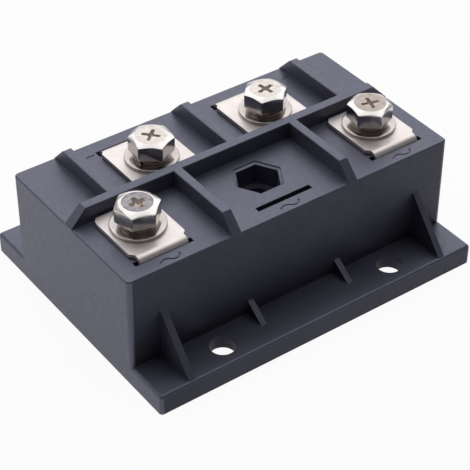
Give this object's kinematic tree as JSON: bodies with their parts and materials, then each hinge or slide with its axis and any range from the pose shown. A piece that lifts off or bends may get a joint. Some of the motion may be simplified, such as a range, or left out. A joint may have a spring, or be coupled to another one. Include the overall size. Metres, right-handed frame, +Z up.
{
  "type": "single-phase bridge rectifier module",
  "caption": "Screw-terminal bridge rectifier module: ribbed dark moulded housing with bolt-down flanges, copper base, folded metal terminals and an open nut pocket.",
  "frame": {"origin": "centre of the copper cooling face on the underside, which is the centre of the bounding box's bottom", "axes": "+X along the module from the left AC terminal to the right one, +Y across it towards the minus and plus terminals, +Z up out of the deck"},
  "size_m": [0.0944, 0.0744, 0.0393],
  "materials": {
    "housing": "fine moulded texture, dark blue-grey",
    "copper_base": "bare rolled copper, faintly brushed",
    "gel": "clear soft silicone gel",
    "resin": "cast black resin",
    "alumina": "fired white alumina",
    "bonded_copper": "bonded copper foil",
    "silicon": "dark grey silicon with a metal skin",
    "clip_copper": "pressed copper strip",
    "terminal_nickel": "bright nickel plate on copper strip",
    "nut_steel": "zinc plated",
    "washer_nickel": "bright nickel plate",
    "spring_nickel": "bright nickel plate",
    "screw_nickel": "bright nickel plate, turned"
  },
  "bodies": {
    "root": {"housing": "housing", "base_plate": "copper_base", "gel_fill": "gel", "resin_fill": "resin", "ceramic_left": "alumina", "lower_foil_left": "bonded_copper", "pad_ac_left": "bonded_copper", "ceramic_right": "alumina", "lower_foil_right": "bonded_copper", "pad_ac_right": "bonded_copper", "pad_minus": "bonded_copper", "pad_plus": "bonded_copper", "diode_chip_ac_left_to_plus": "silicon", "clip_ac_left_to_plus": "clip_copper", "diode_chip_ac_right_to_plus": "silicon", "clip_ac_right_to_plus": "clip_copper", "diode_chip_minus_to_ac_left": "silicon", "clip_minus_to_ac_left": "clip_copper", "diode_chip_minus_to_ac_right": "silicon", "clip_minus_to_ac_right": "clip_copper", "terminal_ac_left": "terminal_nickel", "terminal_ac_right": "terminal_nickel", "terminal_minus": "terminal_nickel", "terminal_plus": "terminal_nickel", "captive_nuts": "nut_steel", "flat_washers": "washer_nickel", "spring_washers": "spring_nickel", "terminal_screws": "screw_nickel"}
  },
  "joints": []
}
